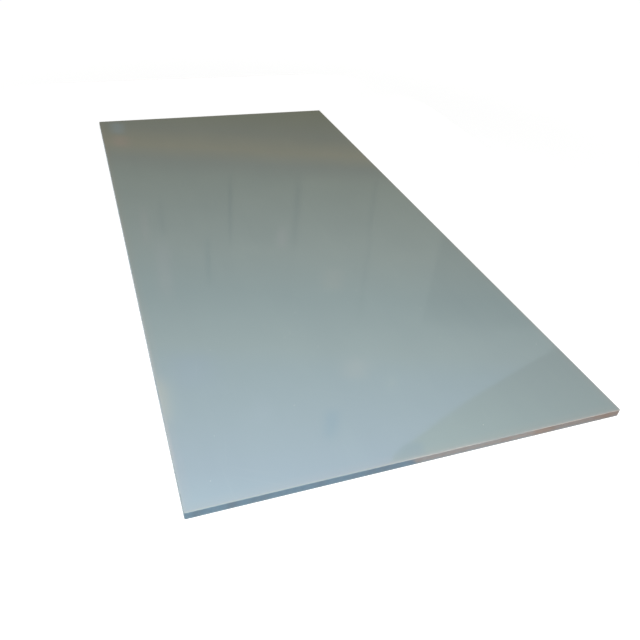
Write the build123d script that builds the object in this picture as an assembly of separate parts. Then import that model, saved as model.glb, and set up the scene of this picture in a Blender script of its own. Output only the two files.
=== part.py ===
from build123d import *

import os

# Solid polystyrene sheet: one plate of stock, extruded between polished rolls and sawn
# to size on all four sides. It lies flat, with the origin at the middle of its underside,
# +Z up and its length along Y, the way it came off the extruder.

# Driving dimensions, in millimetres
LENGTH = 2000.0
WIDTH = 1000.0
THICKNESS = 20.0
ARRIS_RADIUS = 1.2  # sawn edges dulled with a scraper, along the top and underside
CORNER_RADIUS = 3.0  # the four corners seen from above, dulled by handling

# A round on both faces can't take more than this share of the edge's height
ARRIS_SHARE_OF_THICKNESS = 1 / 3


def sawn_outline() -> Sketch:
    """The sheet seen from above: a rectangle with its corners dulled."""
    return RectangleRounded(WIDTH, LENGTH, CORNER_RADIUS)


def sheet() -> Part:
    """The plate, raised from its outline, with the sharp arris taken off both faces."""
    plate = extrude(sawn_outline(), amount=THICKNESS)
    faces_by_height = plate.faces().sort_by(Axis.Z)
    underside, top = faces_by_height[0], faces_by_height[-1]
    arris = min(ARRIS_RADIUS, THICKNESS * ARRIS_SHARE_OF_THICKNESS)
    return fillet(underside.edges() + top.edges(), arris)


os.makedirs("parts", exist_ok=True)
export_step(sheet(), "parts/polystyrene_sheet.step")
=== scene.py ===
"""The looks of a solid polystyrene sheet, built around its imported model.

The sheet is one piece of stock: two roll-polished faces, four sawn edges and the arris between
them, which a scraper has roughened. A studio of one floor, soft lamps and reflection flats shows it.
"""
import logging
import math
from dataclasses import dataclass
from enum import Enum

import bpy
from mathutils import Euler, Matrix, Vector


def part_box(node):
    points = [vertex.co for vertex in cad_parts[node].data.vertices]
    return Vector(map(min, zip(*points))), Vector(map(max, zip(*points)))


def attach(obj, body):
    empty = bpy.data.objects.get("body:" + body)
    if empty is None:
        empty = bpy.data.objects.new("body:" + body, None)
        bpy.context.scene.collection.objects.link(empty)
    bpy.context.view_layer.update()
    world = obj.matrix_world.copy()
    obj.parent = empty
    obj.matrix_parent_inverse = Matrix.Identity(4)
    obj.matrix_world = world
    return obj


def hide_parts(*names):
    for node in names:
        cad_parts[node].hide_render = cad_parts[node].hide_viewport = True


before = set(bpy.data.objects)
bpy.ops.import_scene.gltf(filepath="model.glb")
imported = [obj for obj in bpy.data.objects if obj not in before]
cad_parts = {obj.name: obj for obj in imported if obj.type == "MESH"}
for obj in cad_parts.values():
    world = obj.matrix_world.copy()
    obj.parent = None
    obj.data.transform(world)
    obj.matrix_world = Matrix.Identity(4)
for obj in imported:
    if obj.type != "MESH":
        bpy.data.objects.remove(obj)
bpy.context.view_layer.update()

LOG = logging.getLogger("polystyrene_sheet")
SHEET_NODE = "polystyrene_sheet"
ROOT_BODY = "root"
SAWN_MARK = "sawn"  # on the vertices: 0 on the polished faces, 1 on the sawn walls, rising over the arris
MM = 0.001
FULL_TURN = 2.0 * math.pi
UP = Vector((0.0, 0.0, 1.0))
WHITE = "#FFFFFF"
NOISE_DETAIL = 2.0  # how many finer layers a noise has where nothing else is said
RAMP_HEADROOM = 2.0  # a ramp's colours stop at 1, so lightness is halved in it and doubled after it

# Blender's names for the kinds of node that are used most
MATH = "ShaderNodeMath"
MAP_RANGE = "ShaderNodeMapRange"
VECTOR_MATH = "ShaderNodeVectorMath"
NOISE = "ShaderNodeTexNoise"
MIX = "ShaderNodeMix"
SEPARATE = "ShaderNodeSeparateXYZ"
POSITION = "GeometryNodeInputPosition"
EMISSION = "ShaderNodeEmission"

# Places of sockets on nodes that have a set of them for each kind of value
MIX_FACTOR, MIX_A, MIX_B, MIX_RESULT = 0, 6, 7, 2
COMPARE_INT_A, COMPARE_INT_B = 2, 3

# Short names for types
Tree = bpy.types.NodeTree
Node = bpy.types.Node
Socket = bpy.types.NodeSocket
Sockets = bpy.types.bpy_prop_collection
Colour = tuple[float, float, float, float]
Triple = tuple[float, float, float]
Pair = tuple[float, float]
Outline = tuple[Pair, ...]


class Blend(Enum):
    """How a ramp goes from one colour to the next."""

    EVEN = "LINEAR"
    STEPPED = "CONSTANT"


def linear(hex_colour: str) -> Colour:
    """Turns an sRGB hex colour into linear light.

    Args:
        hex_colour: The colour as "#RRGGBB".

    Returns:
        Linear red, green, blue and an alpha of 1.
    """
    channels = [int(hex_colour[i : i + 2], 16) / 255.0 for i in (1, 3, 5)]
    light = [c / 12.92 if c <= 0.04045 else ((c + 0.055) / 1.055) ** 2.4 for c in channels]
    return light[0], light[1], light[2], 1.0


def rectangle(left: float, right: float, low: float, high: float) -> Outline:
    """Lists a rectangle's four corners, in the order of an outline."""
    return (left, low), (right, low), (right, high), (left, high)


def add_node(tree: Tree, kind: str, inputs: dict | None = None, **settings: object) -> Node:
    """Adds a node to a tree, with its settings and links.

    Args:
        tree: The shader or geometry tree.
        kind: Blender's name for the kind of node.
        inputs: For each input, by name or place: a value, a node or socket to link from, or a list of them.
        settings: The node's own settings.

    Returns:
        The new node.
    """
    node = tree.nodes.new(kind)
    for name, value in settings.items():
        setattr(node, name, value)
    for key, value in (inputs or {}).items():
        for source in value if isinstance(value, list) else [value]:
            if isinstance(source, Node):
                source = source.outputs[0]
            if isinstance(source, Socket):
                tree.links.new(source, node.inputs[key])
            else:
                node.inputs[key].default_value = source
    return node


def place_object(name: str, data: bpy.types.ID) -> bpy.types.Object:
    """Makes an object at the origin and links it to the scene.

    Args:
        name: The object's name.
        data: Its mesh, lamp or camera.

    Returns:
        The new object.
    """
    made = bpy.data.objects.new(name, data)
    bpy.context.scene.collection.objects.link(made)
    return made


@dataclass(frozen=True)
class Surface:
    """What is known of each point of the sheet, as sockets in the tree of its finish."""

    tree: Tree
    shader: Node
    place: Socket  # Object coordinates, in metres
    height: Socket  # metres up from the underside
    inward: Socket  # metres in from the nearest edge
    run: Socket  # metres along the edge
    sawn: Socket  # 0 on the polished faces and 1 on the sawn walls


@dataclass(frozen=True)
class PolystyreneFinish:
    """Solid polystyrene, extruded, pressed between polished rolls and sawn to size.

    The rolls leave a gloss that mirrors the room a little softly, with faint lines the way the
    sheet travelled. Handling adds haze, hairlines and specks; the warmer rim is painted warm light.
    The saw leaves a duller edge with leaning marks; its darker, bluer colour is painted shade, with
    patches of painted warm shade mostly on the right of the front edge. The scraper roughens the
    arris, and its paler tone there is a painted highlight.
    """

    half_width: float
    half_length: float
    name: str = "polystyrene_roll_polished_and_sawn"
    body: str = "#8E9C9F"
    melt_streak: str = "#919FA1"
    # darker and bluer than the body: painted shade of the upright sawn edge under cool light
    sawn: str = "#607886"
    # paler than the body: painted highlight on the arris and the face beside it
    scrape_and_highlight: str = "#A5A5A4"
    # dark and warm: painted warm shade on the sawn edge
    warm_shade: str = "#4E4036"
    # warm and pale: painted warm light along the rim of the faces
    warm_rim_light: str = "#B4A296"
    dust: str = "#B9BFBE"
    refraction: float = 1.59
    gloss_roughness: float = 0.045
    haze_roughness: float = 0.04  # added where the haze is thickest
    hairline_roughness: float = 0.02  # added on a hairline
    sawn_roughness: float = 0.42
    scraped_roughness: float = 0.30
    streak_width: float = 70 * MM
    streak_length: float = 1400 * MM
    haze_width: float = 240 * MM
    haze_length: float = 384 * MM
    haze_turn: float = 24.0
    haze_range: Pair = (0.45, 0.75)  # the noise at which the haze starts, and at which it is thickest
    hairline_spacing: float = 9 * MM  # real ones are finer than a pixel, so they are drawn coarser
    hairline_length: float = 260 * MM
    hairline_turns: tuple[float, ...] = (4.0, -11.0, 63.0)  # mostly the way sheets slide over each other
    hairline_range: Pair = (0.70, 0.78)
    hairline_dust: float = 0.02
    speck_spacing: float = 42 * MM
    speck_edge: float = 0.030  # of the spacing: about 1.3 mm, so that a speck shows
    speck_core: float = 0.015
    peel_width: float = 28 * MM
    peel_length: float = 42 * MM
    peel_depth: float = 0.02 * MM
    die_line_width: float = 11 * MM
    die_line_depth: float = 0.006 * MM
    sawn_climb: float = 0.5  # a power below 1 takes the sawn colour, which is painted shade, further up the arris
    saw_line_pitch: float = 1.7 * MM
    saw_line_depth: float = 0.05 * MM
    saw_line_lean: float = 0.35  # metres along the edge for each metre of height
    saw_line_drift: float = 9.6 * MM  # how far the saw's feed moves the lines at most
    saw_feed_length: float = 45 * MM  # how far the sheet moved between two changes of the saw's feed
    saw_bite_range: Pair = (0.35, 0.65)
    saw_least_bite: float = 0.25
    warm_shade_length: float = 80 * MM
    warm_shade_start: float = 34.18  # metres along the noise: the painted warm shade is mostly on the right of the front edge
    warm_shade_range: Pair = (0.48, 0.68)
    warm_shade_amount: float = 0.26
    scrape_and_highlight_length: float = 200 * MM  # how long one even pass of the scraper, with its painted highlight, is
    scrape_and_highlight_turn: float = 30.0  # turns the passes so that the scraper, and its painted highlight, touch the left of the front edge least
    scrape_and_highlight_range: Pair = (0.42, 0.60)
    scrape_and_highlight_least: float = 0.3  # how hard the lightest pass was, and how faint its painted highlight is
    scrape_and_highlight_slip: float = 9 * MM  # how far the scraper, with its painted highlight, slips onto the face
    scrape_and_highlight_slip_share: float = 0.6
    warm_rim_light_width: float = 25 * MM  # how far the painted warm light reaches in from the edge
    warm_rim_light_share: float = 0.10

    def build(self) -> bpy.types.Material:
        """Makes the material.

        Returns:
            The finished material.
        """
        material = bpy.data.materials.new(self.name)
        material.use_nodes = True
        on = self.surface(material.node_tree)
        on.shader.inputs["IOR"].default_value = self.refraction
        scrape_and_highlight = self.scrape_and_highlight_share(on)
        marks = self.hairlines(on)
        self.colour(on, scrape_and_highlight, marks)
        self.roughness(on, scrape_and_highlight, marks)
        self.relief(on)
        return material

    def surface(self, tree: Tree) -> Surface:
        """Reads the sheet's coordinates and its sawn mark.

        Args:
            tree: The material's tree.

        Returns:
            The sockets that the rest of the finish works from.
        """
        place = add_node(tree, "ShaderNodeTexCoord").outputs["Object"]
        places = add_node(tree, SEPARATE, {0: place}).outputs
        gaps = []
        for axis, half in (("X", self.half_width), ("Y", self.half_length)):
            off = add_node(tree, MATH, {0: places[axis]}, operation="ABSOLUTE")
            gaps.append(add_node(tree, MATH, {0: half, 1: off}, operation="SUBTRACT"))
        inward = add_node(tree, MATH, {0: gaps[0], 1: gaps[1]}, operation="MINIMUM")
        # X plus Y counts metres along each of the four edges, and no corner has a seam in it
        run = add_node(tree, VECTOR_MATH, {0: place, 1: (1.0, 1.0, 0.0)}, operation="DOT_PRODUCT")
        sawn = add_node(tree, "ShaderNodeAttribute", attribute_name=SAWN_MARK)
        return Surface(tree, tree.nodes["Principled BSDF"], place, places["Z"], inward.outputs[0],
                       run.outputs["Value"], sawn.outputs["Fac"])

    def scrape_and_highlight_share(self, on: Surface) -> Socket:
        """Finds where the scraper went, and with it the painted highlight: over the arris and a little onto
        the face, harder in some passes.

        Args:
            on: The sheet's surface.

        Returns:
            Up to 1 in the middle of the arris, less on the face beside it, and 0 elsewhere.
        """
        tree = on.tree
        rest = add_node(tree, MATH, {0: 1.0, 1: on.sawn}, operation="SUBTRACT")
        both = add_node(tree, MATH, {0: on.sawn, 1: rest}, operation="MULTIPLY")
        # The product is a quarter at most, in the middle of the arris
        arris = add_node(tree, MATH, {0: both, 1: 4.0}, operation="MULTIPLY", use_clamp=True)
        slip = add_node(tree, MAP_RANGE, {"Value": on.inward, "From Min": self.scrape_and_highlight_slip,
                                          "From Max": 0.0, "To Max": self.scrape_and_highlight_slip_share})
        on_face = add_node(tree, MATH, {0: slip, 1: rest}, operation="MULTIPLY")
        touched = add_node(tree, MATH, {0: arris, 1: on_face}, operation="MAXIMUM")
        strokes = self.stretched_noise(on, self.scrape_and_highlight_length, self.scrape_and_highlight_length, self.scrape_and_highlight_turn)
        light, hard = self.scrape_and_highlight_range
        passes = add_node(tree, MAP_RANGE, {"Value": strokes, "From Min": light, "From Max": hard,
                                            "To Min": self.scrape_and_highlight_least})
        return add_node(tree, MATH, {0: touched, 1: passes}, operation="MULTIPLY").outputs[0]

    def warm_shade_share(self, on: Surface) -> Socket:
        """Finds where the sawn edge gets patches of painted warm shade, mostly on the right of the front
        edge.

        Args:
            on: The sheet's surface.

        Returns:
            Up to the largest share of painted warm shade on the sawn edge, and 0 on the faces.
        """
        noise = self.edge_noise(on, self.warm_shade_length, self.warm_shade_start)
        unshaded, fully_shaded = self.warm_shade_range
        patches = add_node(on.tree, MAP_RANGE, {"Value": noise, "From Min": unshaded, "From Max": fully_shaded,
                                                "To Max": self.warm_shade_amount})
        return add_node(on.tree, MATH, {0: patches, 1: on.sawn}, operation="MULTIPLY").outputs[0]

    def edge_noise(self, on: Surface, length: float, start: float = 0.0) -> Socket:
        """Draws noise along the edge.

        Args:
            on: The sheet's surface.
            length: Size of the noise, in metres.
            start: Where on the noise the sheet's middle lies, in metres.

        Returns:
            The noise, from 0 to 1.
        """
        along = add_node(on.tree, MATH, {0: on.run, 1: start}, operation="ADD")
        noise = add_node(on.tree, NOISE,
                         {"W": along, "Scale": 1.0 / length, "Detail": NOISE_DETAIL}, noise_dimensions="1D")
        return noise.outputs["Fac"]

    def stretched_noise(self, on: Surface, across: float, along: float, turn: float = 0.0,
                        detail: float = NOISE_DETAIL) -> Socket:
        """Draws noise that may be longer one way than the other.

        Args:
            on: The sheet's surface.
            across: Size of the noise across, in metres.
            along: Size of the noise along the sheet, in metres.
            turn: Turn of the pattern about the vertical, in degrees.
            detail: How many finer layers are added.

        Returns:
            The noise, from 0 to 1.
        """
        mapped = add_node(on.tree, "ShaderNodeMapping",
                          {"Vector": on.place, "Rotation": (0.0, 0.0, math.radians(turn)),
                           "Scale": (across, along, across)}, vector_type="TEXTURE")
        noise = add_node(on.tree, NOISE, {"Vector": mapped, "Scale": 1.0, "Detail": detail})
        return noise.outputs["Fac"]

    def haze(self, on: Surface) -> Socket:
        """Draws soft patches where hands and cloths have dulled the gloss.

        Args:
            on: The sheet's surface.

        Returns:
            How much haze there is, from 0 to 1.
        """
        cloud = self.stretched_noise(on, self.haze_width, self.haze_length, self.haze_turn, detail=4.0)
        clear, thick = self.haze_range
        return add_node(on.tree, MAP_RANGE, {"Value": cloud, "From Min": clear,
                                             "From Max": thick}).outputs[0]

    def hairlines(self, on: Surface) -> Socket:
        """Draws fine scratches in a few directions.

        Args:
            on: The sheet's surface.

        Returns:
            1 on a scratch and 0 off it.
        """
        total = 0.0
        clear, whole = self.hairline_range
        for turn in self.hairline_turns:
            lines = self.stretched_noise(on, self.hairline_spacing, self.hairline_length, turn, detail=1.0)
            cut = add_node(on.tree, MAP_RANGE, {"Value": lines, "From Min": clear, "From Max": whole})
            total = add_node(on.tree, MATH, {0: total, 1: cut}, operation="MAXIMUM").outputs[0]
        return total

    def colour(self, on: Surface, scrape_and_highlight: Socket, marks: Socket) -> None:
        """Colours the body, the rim's painted warm light, the sawn edge's painted shade, its patches of
        painted warm shade, the arris's painted highlight and the dust.

        Args:
            on: The sheet's surface.
            scrape_and_highlight: Where the scraper went, and where the arris and the face beside it get a
                painted highlight.
            marks: Where the hairlines are.
        """
        tree = on.tree
        streaks = self.stretched_noise(on, self.streak_width, self.streak_length)
        # The rim's warm tone is painted warm light, strongest at the edge and gone a given width in
        rim = add_node(tree, MAP_RANGE, {"Value": on.inward, "From Min": self.warm_rim_light_width,
                                         "From Max": 0.0, "To Max": self.warm_rim_light_share})
        # The sawn colour, which is painted shade, rises over the arris onto the wall
        cut = add_node(tree, MATH, {0: on.sawn, 1: self.sawn_climb}, operation="POWER")
        specks = add_node(tree, "ShaderNodeTexVoronoi",
                          {"Vector": on.place, "Scale": 1.0 / self.speck_spacing, "Randomness": 1.0})
        speck = add_node(tree, MAP_RANGE, {"Value": specks.outputs["Distance"],
                                           "From Min": self.speck_edge, "From Max": self.speck_core})
        worn = add_node(tree, MATH, {0: marks, 1: self.hairline_dust}, operation="MULTIPLY")
        dusty = add_node(tree, MATH, {0: worn, 1: speck}, operation="MAXIMUM")
        tone = linear(self.body)
        # Layers over the body: die streaks, painted warm light on the rim, painted shade on the sawn edge,
        # painted warm shade in patches, a painted highlight on the arris, and dust
        for cover, hex_colour in ((streaks, self.melt_streak), (rim, self.warm_rim_light), (cut, self.sawn),
                                  (self.warm_shade_share(on), self.warm_shade), (scrape_and_highlight, self.scrape_and_highlight),
                                  (dusty, self.dust)):
            layer = {MIX_FACTOR: cover, MIX_A: tone, MIX_B: linear(hex_colour)}
            tone = add_node(tree, MIX, layer, data_type="RGBA").outputs[MIX_RESULT]
        tree.links.new(tone, on.shader.inputs["Base Color"])

    def roughness(self, on: Surface, scrape_and_highlight: Socket, marks: Socket) -> None:
        """Sets the gloss, from the polished face to the sawn edge.

        Args:
            on: The sheet's surface.
            scrape_and_highlight: Where the scraper went.
            marks: Where the hairlines are.
        """
        tree = on.tree
        face = self.gloss_roughness
        for share, added in ((self.haze(on), self.haze_roughness), (marks, self.hairline_roughness)):
            face = add_node(tree, MATH, {0: share, 1: added, 2: face}, operation="MULTIPLY_ADD")
        edge = add_node(tree, MIX, {"Factor": on.sawn, "A": face, "B": self.sawn_roughness})
        arris = add_node(tree, MIX, {"Factor": scrape_and_highlight, "A": edge, "B": self.scraped_roughness})
        tree.links.new(arris.outputs["Result"], on.shader.inputs["Roughness"])

    def saw_lines(self, on: Surface) -> Socket:
        """Draws the saw's own lines, leaning, unevenly spaced and deeper in some places than in others.

        Args:
            on: The sheet's surface.

        Returns:
            The height of the lines, from -1 to 1.
        """
        tree = on.tree
        leant = add_node(tree, MATH, {0: on.height, 1: self.saw_line_lean, 2: on.run},
                         operation="MULTIPLY_ADD")
        feed = self.edge_noise(on, self.saw_feed_length)
        lines = add_node(tree, MATH, {0: feed, 1: self.saw_line_drift, 2: leant}, operation="MULTIPLY_ADD")
        slow, fast = self.saw_bite_range
        bite = add_node(tree, MAP_RANGE, {"Value": feed, "From Min": slow, "From Max": fast,
                                          "To Min": self.saw_least_bite})
        for operation, amount in (("MULTIPLY", FULL_TURN / self.saw_line_pitch), ("SINE", 0.0),
                                  ("MULTIPLY", bite), ("MULTIPLY", on.sawn)):
            lines = add_node(tree, MATH, {0: lines, 1: amount}, operation=operation)
        return lines.outputs[0]

    def relief(self, on: Surface) -> None:
        """Adds relief that is too fine for the mesh: peel, die lines and the saw's own lines.

        Args:
            on: The sheet's surface.
        """
        peel = self.stretched_noise(on, self.peel_width, self.peel_length)
        die_lines = self.stretched_noise(on, self.die_line_width, self.streak_length, detail=1.0)
        bumps = []
        for height, depth in ((peel, self.peel_depth), (die_lines, self.die_line_depth),
                              (self.saw_lines(on), self.saw_line_depth)):
            bumps.append(add_node(on.tree, "ShaderNodeBump", {"Height": height, "Distance": depth,
                                                              "Strength": 1.0, "Normal": bumps[-1:]}))
        on.tree.links.new(bumps[-1].outputs[0], on.shader.inputs["Normal"])


@dataclass
class SawnSheet:
    """The sheet: a plate with dulled corners, rounded arrises, saw marks and a wandering gauge.

    Its mesh is grown by Geometry Nodes: an edge profile follows the outline, and a grid with a
    border of triangles closes each face.
    """

    width: float
    length: float
    thickness: float
    arris_radius: float = 1.2 * MM
    corner_radius: float = 3.0 * MM
    face_strip: float = 1.5 * MM  # flat rim of the face, which keeps the arris's shading narrow
    arris_steps: int = 3
    corner_steps: int = 5
    wall_row: float = 2.1 * MM
    edge_step: float = 2.0 * MM
    face_pitch: float = 20.0 * MM
    border: float = 10.0 * MM
    weld: float = 0.01 * MM
    saw_mark_pitch: float = 8.0 * MM  # a coarse chatter; the finer lines are in the finish
    saw_mark_lean: float = 0.35  # metres along the edge for each metre of height
    saw_mark_depth: float = 0.06 * MM
    saw_mark_changes: float = 9.0  # changes of depth in each metre of the edge
    gauge_wander: float = 0.25 * MM
    wander_width: float = 380.0 * MM
    wander_length: float = 620.0 * MM
    wander_range: Pair = (0.22, 0.78)  # the noise at which the sheet is full, and at which it is thinnest
    seed: float = 7.0

    def sizes(self) -> dict[str, float]:
        """Lists the tree's inputs by name, with their values."""
        return {"Width": self.width, "Length": self.length, "Thickness": self.thickness,
                "Arris Radius": self.arris_radius, "Corner Radius": self.corner_radius,
                "Face Strip": self.face_strip, "Saw Mark Pitch": self.saw_mark_pitch,
                "Saw Mark Lean": self.saw_mark_lean, "Saw Mark Depth": self.saw_mark_depth,
                "Gauge Wander": self.gauge_wander, "Seed": self.seed}

    def grow(self, finish: bpy.types.Material) -> bpy.types.Object:
        """Grows the sheet's mesh and leaves it as a plain one.

        Args:
            finish: The material that it is given.

        Returns:
            The sheet's object, at the origin.
        """
        tree = self.tree()
        sheet = place_object("sawn_sheet", bpy.data.meshes.new("sawn_sheet_start"))
        growth = sheet.modifiers.new("growth", "NODES")
        growth.node_group = tree
        values = {**self.sizes(), "Finish": finish}
        for item in tree.interface.items_tree:
            if item.in_out == "INPUT":
                growth[item.identifier] = values[item.name]
        depsgraph = bpy.context.evaluated_depsgraph_get()
        grown = bpy.data.meshes.new_from_object(sheet.evaluated_get(depsgraph), depsgraph=depsgraph,
                                                preserve_all_data_layers=True)
        grown.name = "sawn_sheet"
        sheet.modifiers.remove(growth)
        sheet.data = grown
        return sheet

    def tree(self) -> Tree:
        """Builds the tree that grows the sheet.

        Returns:
            The geometry tree.
        """
        tree = bpy.data.node_groups.new("sheet_growth", "GeometryNodeTree")
        for name in self.sizes():
            tree.interface.new_socket(name, in_out="INPUT", socket_type="NodeSocketFloat")
        tree.interface.new_socket("Finish", in_out="INPUT", socket_type="NodeSocketMaterial")
        tree.interface.new_socket("Sheet", in_out="OUTPUT", socket_type="NodeSocketGeometry")
        given = add_node(tree, "NodeGroupInput").outputs
        rim = self.rim(tree, given)
        face = self.face(tree, given, rim)
        raised = add_node(tree, "ShaderNodeCombineXYZ", {"Z": given["Thickness"]})
        top = add_node(tree, "GeometryNodeTransform", {"Geometry": face, "Translation": raised})
        underside = add_node(tree, "GeometryNodeFlipFaces", {"Mesh": face})
        joined = add_node(tree, "GeometryNodeJoinGeometry", {"Geometry": [rim, top, underside]})
        welded = add_node(tree, "GeometryNodeMergeByDistance", {"Geometry": joined, "Distance": self.weld})
        wandered = self.wander(tree, given, welded)
        smooth = add_node(tree, "GeometryNodeSetShadeSmooth", {"Geometry": wandered, "Shade Smooth": True})
        real = add_node(tree, "GeometryNodeRealizeInstances", {"Geometry": smooth})
        dressed = add_node(tree, "GeometryNodeSetMaterial", {"Geometry": real, "Material": given["Finish"]})
        add_node(tree, "NodeGroupOutput", {"Sheet": dressed})
        return tree

    def divided(self, tree: Tree, curve: Node, step: float) -> Node:
        """Divides the long runs of a curve evenly and leaves its short ones as they are.

        Args:
            tree: The geometry tree.
            curve: The node that gives the curve.
            step: About how long a run may be, in metres.

        Returns:
            The node that gives the divided curve.
        """
        place = add_node(tree, POSITION)
        following = add_node(tree, "GeometryNodeOffsetPointInCurve", {"Offset": 1}).outputs["Point Index"]
        next_place = add_node(tree, "GeometryNodeFieldAtIndex", {"Index": following, "Value": place},
                              data_type="FLOAT_VECTOR")
        run = add_node(tree, VECTOR_MATH, {0: place, 1: next_place}, operation="DISTANCE")
        # One cut fewer than there are steps in the run, to the nearest whole number
        cuts = run.outputs["Value"]
        for operation, amount in (("DIVIDE", step), ("SUBTRACT", 0.5), ("FLOOR", 0.0), ("MAXIMUM", 0.0)):
            cuts = add_node(tree, MATH, {0: cuts, 1: amount}, operation=operation)
        return add_node(tree, "GeometryNodeSubdivideCurve", {"Curve": curve, "Cuts": cuts})

    def rim(self, tree: Tree, given: Sockets) -> Node:
        """Sends the edge's profile round the outline and presses the saw's marks into its wall.

        Args:
            tree: The geometry tree.
            given: The tree's inputs.

        Returns:
            The node that gives the rim.
        """
        arris = given["Arris Radius"]
        two_arrises = add_node(tree, MATH, {0: arris, 1: 2.0}, operation="MULTIPLY")
        inner_width, inner_length, inner_corner = [
            add_node(tree, MATH, {0: given[name], 1: taken}, operation="SUBTRACT")
            for name, taken in (("Width", two_arrises), ("Length", two_arrises), ("Corner Radius", arris))]
        outline = add_node(tree, "GeometryNodeCurvePrimitiveQuadrilateral",
                           {"Width": inner_width, "Height": inner_length})
        rounded = add_node(tree, "GeometryNodeFilletCurve", mode="POLY", inputs={
            "Curve": outline, "Count": self.corner_steps, "Radius": inner_corner})
        path = add_node(tree, "GeometryNodeSetCurveNormal",
                        {"Curve": self.divided(tree, rounded, self.edge_step)}, mode="Z_UP")
        tangent = add_node(tree, "GeometryNodeInputTangent")
        outward = add_node(tree, VECTOR_MATH, {0: tangent, 1: UP}, operation="CROSS_PRODUCT")
        noted = add_node(tree, "GeometryNodeCaptureAttribute", {"Geometry": path}, domain="POINT")
        noted.capture_items.new("FLOAT", "Run")
        noted.capture_items.new("VECTOR", "Outward")
        tree.links.new(add_node(tree, "GeometryNodeSplineParameter").outputs["Length"], noted.inputs["Run"])
        tree.links.new(outward.outputs[0], noted.inputs["Outward"])
        swept = add_node(tree, "GeometryNodeCurveToMesh",
                         {"Curve": noted, "Profile Curve": self.profile(tree, given)})
        return self.sawn_wall(tree, given, swept, noted)

    def profile(self, tree: Tree, given: Sockets) -> Node:
        """Draws the edge in section: a strip of each face, the two arrises and the wall between.

        Args:
            tree: The geometry tree.
            given: The tree's inputs.

        Returns:
            The node that gives the profile, with its Y pointing down.
        """
        arris = given["Arris Radius"]
        strip = add_node(tree, MATH, {0: given["Face Strip"], 1: -1.0}, operation="MULTIPLY")
        top = add_node(tree, MATH, {0: given["Thickness"], 1: -1.0}, operation="MULTIPLY")
        corners = [add_node(tree, "ShaderNodeCombineXYZ", {"X": x, "Y": y})
                   for x, y in ((strip, top), (arris, top), (arris, 0.0), (strip, 0.0))]
        bracket = add_node(tree, "GeometryNodeCurvePrimitiveQuadrilateral",
                           {f"Point {i + 1}": corner for i, corner in enumerate(corners)}, mode="POINTS")
        opened = add_node(tree, "GeometryNodeSetSplineCyclic", {"Geometry": bracket, "Cyclic": False})
        rounded = add_node(tree, "GeometryNodeFilletCurve", mode="POLY", inputs={
            "Curve": opened, "Count": self.arris_steps, "Radius": arris})
        return self.divided(tree, rounded, self.wall_row)

    def sawn_wall(self, tree: Tree, given: Sockets, swept: Node, noted: Node) -> Node:
        """Notes where the rim is sawn and presses leaning saw marks into it.

        Args:
            tree: The geometry tree.
            given: The tree's inputs.
            swept: The node that gives the plain rim.
            noted: The node that keeps the run and the outward direction.

        Returns:
            The node that gives the marked rim.
        """
        place = add_node(tree, POSITION)
        height = add_node(tree, SEPARATE, {0: place}).outputs["Z"]
        from_top = add_node(tree, MATH, {0: given["Thickness"], 1: height}, operation="SUBTRACT")
        from_face = add_node(tree, MATH, {0: height, 1: from_top}, operation="MINIMUM")
        sawn = add_node(tree, MATH, {0: from_face, 1: given["Arris Radius"]},
                        operation="DIVIDE", use_clamp=True)
        run = noted.outputs["Run"]
        wave = add_node(tree, MATH, {0: height, 1: given["Saw Mark Lean"], 2: run}, operation="MULTIPLY_ADD")
        for operation, amount in (("DIVIDE", given["Saw Mark Pitch"]), ("MULTIPLY", FULL_TURN),
                                  ("SINE", 0.0)):
            wave = add_node(tree, MATH, {0: wave, 1: amount}, operation=operation)
        dip = add_node(tree, MAP_RANGE, {"Value": wave, "From Min": -1.0, "From Max": 1.0})
        deep = add_node(tree, NOISE,
                        {"W": run, "Scale": self.saw_mark_changes, "Detail": 1.0}, noise_dimensions="1D")
        inward = given["Saw Mark Depth"]
        for share in (deep, dip, sawn, -1.0):
            inward = add_node(tree, MATH, {0: inward, 1: share}, operation="MULTIPLY")
        offset = add_node(tree, VECTOR_MATH, {0: noted.outputs["Outward"], "Scale": inward},
                          operation="SCALE")
        marked = add_node(tree, "GeometryNodeStoreNamedAttribute",
                          {"Geometry": swept, "Name": SAWN_MARK, "Value": sawn})
        return add_node(tree, "GeometryNodeSetPosition", {"Geometry": marked, "Offset": offset})

    def face(self, tree: Tree, given: Sockets, rim: Node) -> Node:
        """Lays a grid inside the rim and fills the border between them with triangles.

        Args:
            tree: The geometry tree.
            given: The tree's inputs.
            rim: The node that gives the rim.

        Returns:
            The node that gives one face, at the height of the underside.
        """
        grid_inputs = {}
        for name, axis in (("Width", "X"), ("Length", "Y")):
            span = add_node(tree, MATH, {0: given[name], 1: 2.0 * self.border}, operation="SUBTRACT")
            count = add_node(tree, MATH, {0: span, 1: self.face_pitch}, operation="DIVIDE")
            grid_inputs.update({f"Size {axis}": span, f"Vertices {axis}": count})
        grid = add_node(tree, "GeometryNodeMeshGrid", grid_inputs)
        both = add_node(tree, "GeometryNodeJoinGeometry", {"Geometry": [rim, grid]})
        neighbours = add_node(tree, "GeometryNodeInputMeshEdgeNeighbors")
        open_edge = add_node(tree, "FunctionNodeCompare", {COMPARE_INT_A: neighbours, COMPARE_INT_B: 1},
                             data_type="INT", operation="EQUAL")
        place = add_node(tree, POSITION)
        height = add_node(tree, SEPARATE, {0: place}).outputs["Z"]
        half = add_node(tree, MATH, {0: given["Thickness"], 1: 0.5}, operation="MULTIPLY")
        low = add_node(tree, MATH, {0: height, 1: half}, operation="LESS_THAN")
        chosen = add_node(tree, MATH, {0: open_edge, 1: low}, operation="MULTIPLY")
        loops = add_node(tree, "GeometryNodeMeshToCurve", {"Mesh": both, "Selection": chosen})
        border = add_node(tree, "GeometryNodeFillCurve", {"Curve": loops}, mode="TRIANGLES")
        return add_node(tree, "GeometryNodeJoinGeometry", {"Geometry": [grid, border]})

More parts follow.
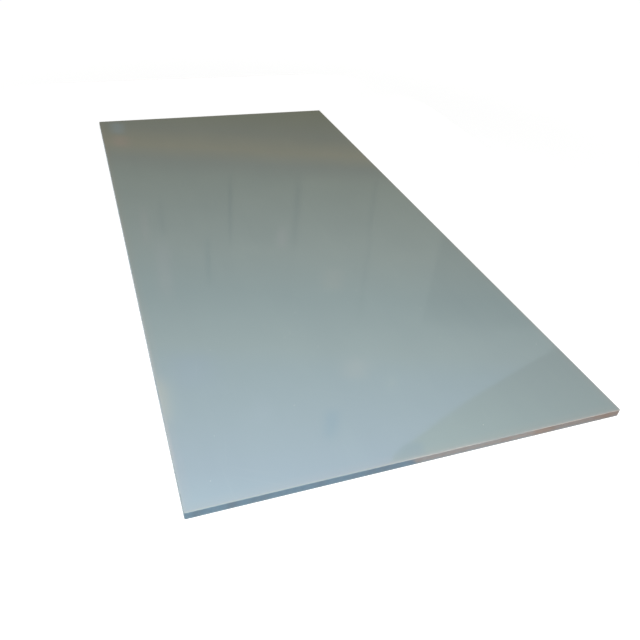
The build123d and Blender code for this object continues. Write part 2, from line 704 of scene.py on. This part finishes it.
    def wander(self, tree: Tree, given: Sockets, sheet: Node) -> Node:
        """Thins the sheet slowly and unevenly, the way the extruder's gauge wanders.

        Args:
            tree: The geometry tree.
            given: The tree's inputs.
            sheet: The node that gives the even sheet.

        Returns:
            The node that gives the sheet with its top a little uneven and its underside flat.
        """
        place = add_node(tree, POSITION)
        spread = add_node(tree, VECTOR_MATH, operation="MULTIPLY", inputs={
            0: place, 1: (1.0 / self.wander_width, 1.0 / self.wander_length, 0.0)})
        swell = add_node(tree, NOISE, noise_dimensions="4D", inputs={
            "Vector": spread, "W": given["Seed"], "Scale": 1.0, "Detail": 1.0})
        full, thinnest = self.wander_range
        thin = add_node(tree, MAP_RANGE, {"Value": swell, "From Min": full, "From Max": thinnest,
                                          "To Max": given["Gauge Wander"]})
        drop = add_node(tree, SEPARATE, {0: place}).outputs["Z"]
        for operation, amount in (("DIVIDE", given["Thickness"]), ("MULTIPLY", thin), ("MULTIPLY", -1.0)):
            drop = add_node(tree, MATH, {0: drop, 1: amount}, operation=operation)
        offset = add_node(tree, "ShaderNodeCombineXYZ", {"Z": drop})
        return add_node(tree, "GeometryNodeSetPosition", {"Geometry": sheet, "Offset": offset})


@dataclass(frozen=True)
class Viewpoint:
    """The camera, where the photograph was taken from."""

    place: Triple = (-0.5795, -1.6868, 1.0015)
    turn_degrees: Triple = (53.328, -3.528, -18.360)
    picture_px: float = 640.0
    focal_px: float = 616.91
    centre_shift_px: Pair = (-25.66, -12.33)  # the lens axis from the picture's middle, right and down
    sensor_mm: float = 36.0

    def build(self) -> None:
        """Makes the camera and gives it to the scene."""
        lens = bpy.data.cameras.new("viewpoint")
        lens.sensor_width = self.sensor_mm
        lens.lens = self.focal_px / self.picture_px * self.sensor_mm
        lens.shift_x = -self.centre_shift_px[0] / self.picture_px
        lens.shift_y = self.centre_shift_px[1] / self.picture_px
        camera = place_object("viewpoint", lens)
        camera.location = self.place
        camera.rotation_euler = Euler([math.radians(turn) for turn in self.turn_degrees], "XYZ")
        bpy.context.scene.camera = camera


@dataclass(frozen=True)
class Softbox:
    """A flat lamp behind cloth, aimed at a point."""

    name: str
    place: Triple
    aim: Triple
    width: float
    height: float
    power: float
    tint: str = WHITE

    def build(self) -> None:
        """Makes the lamp."""
        light = bpy.data.lights.new(self.name, "AREA")
        light.shape = "RECTANGLE"
        light.size = self.width
        light.size_y = self.height
        light.energy = self.power
        light.color = linear(self.tint)[:3]
        lamp = place_object(self.name, light)
        lamp.visible_camera = False
        lamp.visible_glossy = False
        lamp.location = self.place
        lamp.rotation_euler = (Vector(self.aim) - Vector(self.place)).to_track_quat("-Z", "Y").to_euler()


@dataclass(frozen=True)
class ReflectionCard:
    """A card out of the camera's sight, square to its view, which only mirrors in the sheet's gloss."""

    name: str
    outline: Outline  # across and up from the foot, in metres
    tone: str = "#000000"
    glow: float = 1.0
    foot: Pair = (0.680, 2.110)
    facing_degrees: float = 18.36

    def stand(self, across: float, up: float) -> Vector:
        """Finds where a point of the card stands, from its metres across and up."""
        turn = Matrix.Rotation(-math.radians(self.facing_degrees), 3, "Z")
        return Vector((*self.foot, 0.0)) + turn @ Vector((across, 0.0, up))

    def build(self) -> None:
        """Cuts the card, puts it in place and paints it."""
        mesh = bpy.data.meshes.new(self.name)
        corners = [self.stand(*point) for point in self.outline]
        mesh.from_pydata(corners, [], [tuple(range(len(corners)))])
        places = mesh.uv_layers.new(name="card")
        for loop in mesh.loops:
            places.data[loop.index].uv = self.outline[loop.vertex_index]
        material = bpy.data.materials.new(f"{self.name}_paint")
        material.use_nodes = True
        material.node_tree.nodes.clear()
        self.paint(material.node_tree)
        mesh.materials.append(material)
        card = place_object(self.name, mesh)
        card.visible_camera = False
        card.visible_diffuse = False
        card.visible_transmission = False
        card.visible_shadow = False

    def paint(self, tree: Tree) -> None:
        """Paints the card's empty tree in one even tone."""
        tone = add_node(tree, EMISSION, {"Color": linear(self.tone), "Strength": self.glow})
        add_node(tree, "ShaderNodeOutputMaterial", {"Surface": tone})


@dataclass(frozen=True)
class FloorCard(ReflectionCard):
    """A card that lies on the floor and mirrors in the front edge of the sheet."""

    foot: Pair = (0.0, -1.002)

    def stand(self, across: float, up: float) -> Vector:
        """Finds where a point of the card lies, from its metres across and away from the edge."""
        return Vector((self.foot[0] + across, self.foot[1] - up, 0.0))


@dataclass(frozen=True)
class Patch:
    """A soft patch of another tone on a flat, such as the joint of two panels or a pale gap."""

    across: float
    up: float
    half_width: float
    half_height: float
    tone: str
    strength: float


@dataclass(frozen=True)
class GradedFlat(ReflectionCard):
    """A tall flat, dark and warm near the floor and cool and light above, with panels and soft patches."""

    glow: float = 2.2
    tones: tuple[tuple[float, str], ...] = (  # height in metres and colour
        (0.00, "#8C8C88"), (0.18, "#7E7B6C"), (0.36, "#6E663C"), (0.58, "#7C7359"), (0.70, "#94845D"),
        (0.80, "#847E69"), (0.92, "#92927C"), (1.50, "#A6A797"), (1.90, "#98A29E"), (2.45, "#A8AEAE"),
        (2.70, "#9FABC0"), (3.40, "#9BA4D2"), (4.10, "#9296E4"), (4.60, "#A2B5FE"))
    panels: tuple[Pair, ...] = (  # where each panel starts across, and how light it is
        (-2.6, 0.93), (-0.33, 0.98), (0.15, 1.03), (0.71, 1.06), (1.225, 0.85))
    patches: tuple[Patch, ...] = (
        # Dark joints and a dark smear
        Patch(-0.83, 1.25, 0.03, 0.22, "#000000", 0.16),
        Patch(-0.50, 1.62, 0.04, 0.28, "#2F4F48", 0.30),
        Patch(-0.335, 1.18, 0.022, 0.34, "#000000", 0.26),
        Patch(0.15, 1.16, 0.050, 0.36, "#000000", 0.20),
        Patch(0.69, 1.08, 0.028, 0.28, "#000000", 0.16),
        Patch(0.715, 1.72, 0.028, 0.56, "#000000", 0.20),
        # Paler and tinted gaps
        Patch(-0.96, 1.34, 0.045, 0.18, "#BDB0A6", 0.50),
        Patch(-0.84, 1.72, 0.10, 0.34, "#BFB6B2", 0.50),
        Patch(0.05, 1.37, 0.07, 0.11, "#C4B8B0", 0.50),
        Patch(-1.08, 0.60, 0.08, 0.05, "#8A9498", 0.55),
        Patch(0.47, 1.72, 0.14, 0.13, "#BDB6A6", 0.60),
        Patch(0.76, 2.64, 0.20, 0.16, "#D2C8C8", 0.70),
        Patch(1.10, 2.78, 0.06, 0.09, "#CAD1D1", 0.80),
        Patch(0.62, 3.36, 0.13, 0.26, "#2A70C3", 0.90),
        Patch(-0.04, 3.20, 0.13, 0.20, "#B6BCE6", 0.70),
        Patch(-1.00, 3.14, 0.22, 0.36, "#F6E6D8", 1.00),
        Patch(-0.66, 2.78, 0.34, 0.30, "#A0ACDE", 0.60),
        Patch(-1.07, 0.69, 0.10, 0.05, "#A8876A", 0.60))
    patch_core: float = 0.4  # how much of a patch's height is whole, before it fades
    panel_foot: float = 0.84
    panel_top: float = 2.1
    panel_blend: float = 0.10
    upper_ends: tuple[Pair, Pair] = ((-1.0, 0.95), (1.2, 1.07))  # across, and how light above the panels
    mottle_width: float = 0.34
    mottle_height: float = 0.16
    mottle_depth: float = 0.05
    mottle_range: Pair = (0.3, 0.7)
    left_fade: float = 1.1
    right_fade: float = 3.2
    top_fade: float = 1.0

    def paint(self, tree: Tree) -> None:
        """Paints the tones up the flat and the patches over them, and fades its ends and top to white.

        Args:
            tree: The card's material tree, empty.
        """
        place = add_node(tree, "ShaderNodeUVMap", uv_map="card")
        places = add_node(tree, SEPARATE, {0: place})
        across, up = places.outputs["X"], places.outputs["Y"]
        top = self.tones[-1][0]
        share = add_node(tree, MATH, {0: up, 1: top}, operation="DIVIDE", use_clamp=True)
        stops = [(height / top, linear(colour)) for height, colour in self.tones]
        tone = self.ramp(tree, share, stops).outputs[0]
        for patch in self.patches:
            whole = self.patch_core * patch.half_height
            beside = self.soft_band(tree, across, patch.across, 0.0, patch.half_width)
            over = self.soft_band(tree, up, patch.up, whole, patch.half_height - whole)
            inside = add_node(tree, MATH, {0: beside, 1: over}, operation="MULTIPLY")
            cover = add_node(tree, MATH, {0: inside, 1: patch.strength}, operation="MULTIPLY")
            layer = {MIX_FACTOR: cover, MIX_A: tone, MIX_B: linear(patch.tone)}
            tone = add_node(tree, MIX, layer, data_type="RGBA").outputs[MIX_RESULT]
        left, right = self.span()
        ceiling = max(point[1] for point in self.outline)
        kept = 1.0
        for value, end, fade in ((across, left, self.left_fade), (across, right, -self.right_fade),
                                 (up, ceiling, -self.top_fade)):
            risen = add_node(tree, MAP_RANGE, {"Value": value, "From Min": end, "From Max": end + fade},
                             interpolation_type="SMOOTHSTEP")
            kept = add_node(tree, MATH, {0: kept, 1: risen}, operation="MULTIPLY")
        glow = add_node(tree, MATH, operation="MULTIPLY", inputs={
            0: self.panel_glow(tree, across, up), 1: self.mottle(tree, place)})
        shine = add_node(tree, EMISSION, {"Color": tone, "Strength": glow})
        air = add_node(tree, EMISSION, {"Color": linear(WHITE), "Strength": 1.0})
        faded = add_node(tree, "ShaderNodeMixShader", {0: kept, 1: air, 2: shine})
        add_node(tree, "ShaderNodeOutputMaterial", {"Surface": faded})

    def span(self) -> Pair:
        """Finds the flat's two ends, in metres across."""
        ends = [point[0] for point in self.outline]
        return min(ends), max(ends)

    def ramp(self, tree: Tree, share: Node, stops: list[tuple[float, Colour]],
             blend: Blend = Blend.EVEN) -> Node:
        """Turns a share from 0 to 1 into colours.

        Args:
            tree: The card's material tree.
            share: The node that gives the share.
            stops: Each stop's share and colour, in order.
            blend: How the ramp goes from one stop to the next.

        Returns:
            The ramp's node.
        """
        made = add_node(tree, "ShaderNodeValToRGB", {"Fac": share})
        made.color_ramp.interpolation = blend.value
        elements = made.color_ramp.elements
        for _ in range(len(stops) - len(elements)):
            elements.new(1.0)
        for element, (position, colour) in zip(elements, stops):
            element.position = position
            element.color = colour
        return made

    def soft_band(self, tree: Tree, value: Socket, middle: float, half: float, fade: float) -> Socket:
        """Picks out a band of values, soft at both sides.

        Args:
            tree: The card's material tree.
            value: The value that is looked at, in metres.
            middle: The band's middle.
            half: How far from the middle the band is whole.
            fade: How far it fades beyond that.

        Returns:
            1 in the band and 0 off it.
        """
        off = add_node(tree, MATH, {0: value, 1: middle}, operation="SUBTRACT")
        away = add_node(tree, MATH, {0: off}, operation="ABSOLUTE")
        band = add_node(tree, MAP_RANGE, {"Value": away, "From Min": half + fade, "From Max": half},
                        interpolation_type="SMOOTHSTEP")
        return band.outputs[0]

    def panel_glow(self, tree: Tree, across: Socket, up: Socket) -> Socket:
        """Makes each panel a little lighter or darker than the next, between the panels' foot and top.

        Args:
            tree: The card's material tree.
            across: Metres across the flat.
            up: Metres up it.

        Returns:
            How strongly the flat glows.
        """
        left, right = self.span()
        share = add_node(tree, MAP_RANGE, {"Value": across, "From Min": left, "From Max": right})
        stops = []
        for start, lightness in self.panels:
            grey = lightness / RAMP_HEADROOM
            stops.append(((start - left) / (right - left), (grey, grey, grey, 1.0)))
        greys = self.ramp(tree, share, stops, Blend.STEPPED)
        panel = add_node(tree, MATH, {0: greys, 1: RAMP_HEADROOM * self.glow}, operation="MULTIPLY")
        (start, dim), (stop, bright) = self.upper_ends
        upper = add_node(tree, MAP_RANGE, {"Value": across, "From Min": start, "From Max": stop,
                                           "To Min": dim * self.glow, "To Max": bright * self.glow})
        glow = self.glow
        for level, over in ((self.panel_foot, panel), (self.panel_top, upper)):
            risen = add_node(tree, MAP_RANGE, {"Value": up, "From Min": level - 0.5 * self.panel_blend,
                                               "From Max": level + 0.5 * self.panel_blend})
            glow = add_node(tree, MIX, {"Factor": risen, "A": glow, "B": over}).outputs["Result"]
        return glow

    def mottle(self, tree: Tree, place: Node) -> Socket:
        """Draws the slight unevenness of hand-painted cloth.

        Args:
            tree: The card's material tree.
            place: The node that gives metres across and up.

        Returns:
            A factor close to 1.
        """
        mapped = add_node(tree, "ShaderNodeMapping", vector_type="TEXTURE", inputs={
            "Vector": place, "Scale": (self.mottle_width, self.mottle_height, 1.0)})
        cloud = add_node(tree, NOISE, {"Vector": mapped, "Scale": 1.0, "Detail": NOISE_DETAIL})
        low, high = self.mottle_range
        factor = add_node(tree, MAP_RANGE, {"Value": cloud.outputs["Fac"], "From Min": low,
                                            "From Max": high, "To Min": 1.0 - self.mottle_depth,
                                            "To Max": 1.0 + self.mottle_depth})
        return factor.outputs[0]


@dataclass(frozen=True)
class Studio:
    """The floor, the lamps, the cards and the even light round them."""

    floor_side: float = 80.0
    floor_drop: float = 0.2 * MM
    floor_glow: float = 0.88  # round the sheet, where its shadow shows
    far_floor_glow: float = 0.96
    near_floor: float = 1.3
    far_floor: float = 2.8
    floor_paper: str = "#A0A0A0"
    fill: str = "#FFFCF7"
    fill_strength: float = 0.155
    softboxes: tuple[Softbox, ...] = (
        Softbox("key_softbox", (-0.6, -1.9, 1.3), (0.0, -0.2, 0.0), 1.4, 1.4, 56.0, "#F9FFFE"),
        Softbox("edge_kicker", (0.65, -1.85, 0.08), (0.30, -1.0, 0.01), 0.12, 0.12, 2.7, "#FFAE70"),
        Softbox("back_strip", (0.0, 1.6, 0.03), (0.0, 1.0, 0.03), 1.4, 0.05, 4.0),
        Softbox("left_strip", (-1.1, 0.0, 0.03), (-0.5, 0.0, 0.03), 2.0, 0.05, 5.5),
        Softbox("right_strip", (1.1, 0.0, 0.03), (0.5, 0.0, 0.03), 2.0, 0.05, 5.5),
    )
    cards: tuple[ReflectionCard, ...] = (
        GradedFlat("graded_flat", rectangle(-2.6, 5.8, 0.0, 6.0)),
        ReflectionCard("slanted_flag", ((1.27, 3.74), (1.60, 3.25), (1.86, 2.91), (2.13, 2.61), (2.38, 2.34),
                                        (2.46, 2.20), (6.0, 2.20), (6.0, 7.5), (1.27, 7.5)),
                       tone="#C2C0BB", foot=(0.677, 2.101)),
        ReflectionCard("flag_tip", ((1.27, 3.80), (1.33, 3.56), (1.50, 3.52), (1.62, 3.80)), tone="#4C60C4",
                       foot=(0.674, 2.092)),
        FloorCard("cool_edge_card", rectangle(-0.8, -0.02, 0.0, 0.25), tone="#9088B2"),
        FloorCard("warm_edge_card", rectangle(-0.02, 0.32, 0.0, 0.25), tone="#FFB579", glow=2.12),
        FloorCard("rust_edge_card", rectangle(0.32, 0.8, 0.0, 0.25), tone="#FFA95E", glow=1.6),
    )

    def build(self) -> None:
        """Makes the floor, the world's light, the lamps and the cards."""
        self.floor()
        self.world()
        for piece in self.softboxes + self.cards:
            piece.build()
        bpy.context.scene.view_settings.view_transform = "Standard"

    def floor(self) -> None:
        """Lays the floor, which is white to the eye and keeps the sheet's shadow."""
        half = self.floor_side / 2.0
        corners = [(x, y, -self.floor_drop) for x, y in rectangle(-half, half, -half, half)]
        mesh = bpy.data.meshes.new("floor")
        mesh.from_pydata(corners, [], [(0, 1, 2, 3)])
        material = bpy.data.materials.new("floor_paper")
        material.use_nodes = True
        tree = material.node_tree
        tree.nodes.clear()
        paper = add_node(tree, "ShaderNodeBsdfDiffuse", {"Color": linear(self.floor_paper)})
        place = add_node(tree, "ShaderNodeTexCoord").outputs["Object"]
        away = add_node(tree, VECTOR_MATH, {0: place}, operation="LENGTH").outputs["Value"]
        white = add_node(tree, MAP_RANGE, interpolation_type="SMOOTHSTEP", inputs={
            "Value": away, "From Min": self.near_floor, "From Max": self.far_floor,
            "To Min": self.floor_glow, "To Max": self.far_floor_glow})
        glow = add_node(tree, MATH, {0: self.eye_rays(tree), 1: white}, operation="MULTIPLY")
        shine = add_node(tree, EMISSION, {"Strength": glow})
        both = add_node(tree, "ShaderNodeAddShader", {0: paper, 1: shine})
        add_node(tree, "ShaderNodeOutputMaterial", {"Surface": both})
        mesh.materials.append(material)
        floor = place_object("floor", mesh)

    def world(self) -> None:
        """Sets the light all round: white to the eye and in the gloss, a soft fill for the rest."""
        world = bpy.data.worlds.new("studio_air")
        world.use_nodes = True
        tree = world.node_tree
        tree.nodes.clear()
        white = add_node(tree, "ShaderNodeBackground", {"Color": linear(WHITE), "Strength": 1.0})
        fill = add_node(tree, "ShaderNodeBackground",
                        {"Color": linear(self.fill), "Strength": self.fill_strength})
        seen = add_node(tree, "ShaderNodeMixShader", {0: self.eye_rays(tree), 1: fill, 2: white})
        add_node(tree, "ShaderNodeOutputWorld", {"Surface": seen})
        bpy.context.scene.world = world

    def eye_rays(self, tree: Tree) -> Node:
        """Tells rays that reach the eye, straight or by gloss or glass, from those that only light things.

        Args:
            tree: The tree that asks.

        Returns:
            The node that gives 1 for a ray that reaches the eye.
        """
        path = add_node(tree, "ShaderNodeLightPath").outputs
        gloss = add_node(tree, MATH, {0: path["Is Camera Ray"], 1: path["Is Glossy Ray"]},
                         operation="MAXIMUM")
        return add_node(tree, MATH, {0: gloss, 1: path["Is Transmission Ray"]}, operation="MAXIMUM")


def main() -> None:
    """Builds the camera, the studio and the sheet, in that order."""
    logging.basicConfig(level=logging.INFO, format="%(name)s: %(message)s")
    Viewpoint().build()
    LOG.info("camera set where the photograph was taken")
    Studio().build()
    LOG.info("studio lit")
    low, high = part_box(SHEET_NODE)
    width, length, thickness = high - low
    finish = PolystyreneFinish(half_width=0.5 * width, half_length=0.5 * length).build()
    sheet = SawnSheet(width, length, thickness).grow(finish)
    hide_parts(SHEET_NODE)
    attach(sheet, ROOT_BODY)
    LOG.info("%s: %d faces", sheet.name, len(sheet.data.polygons))


if __name__ == "__main__":
    main()
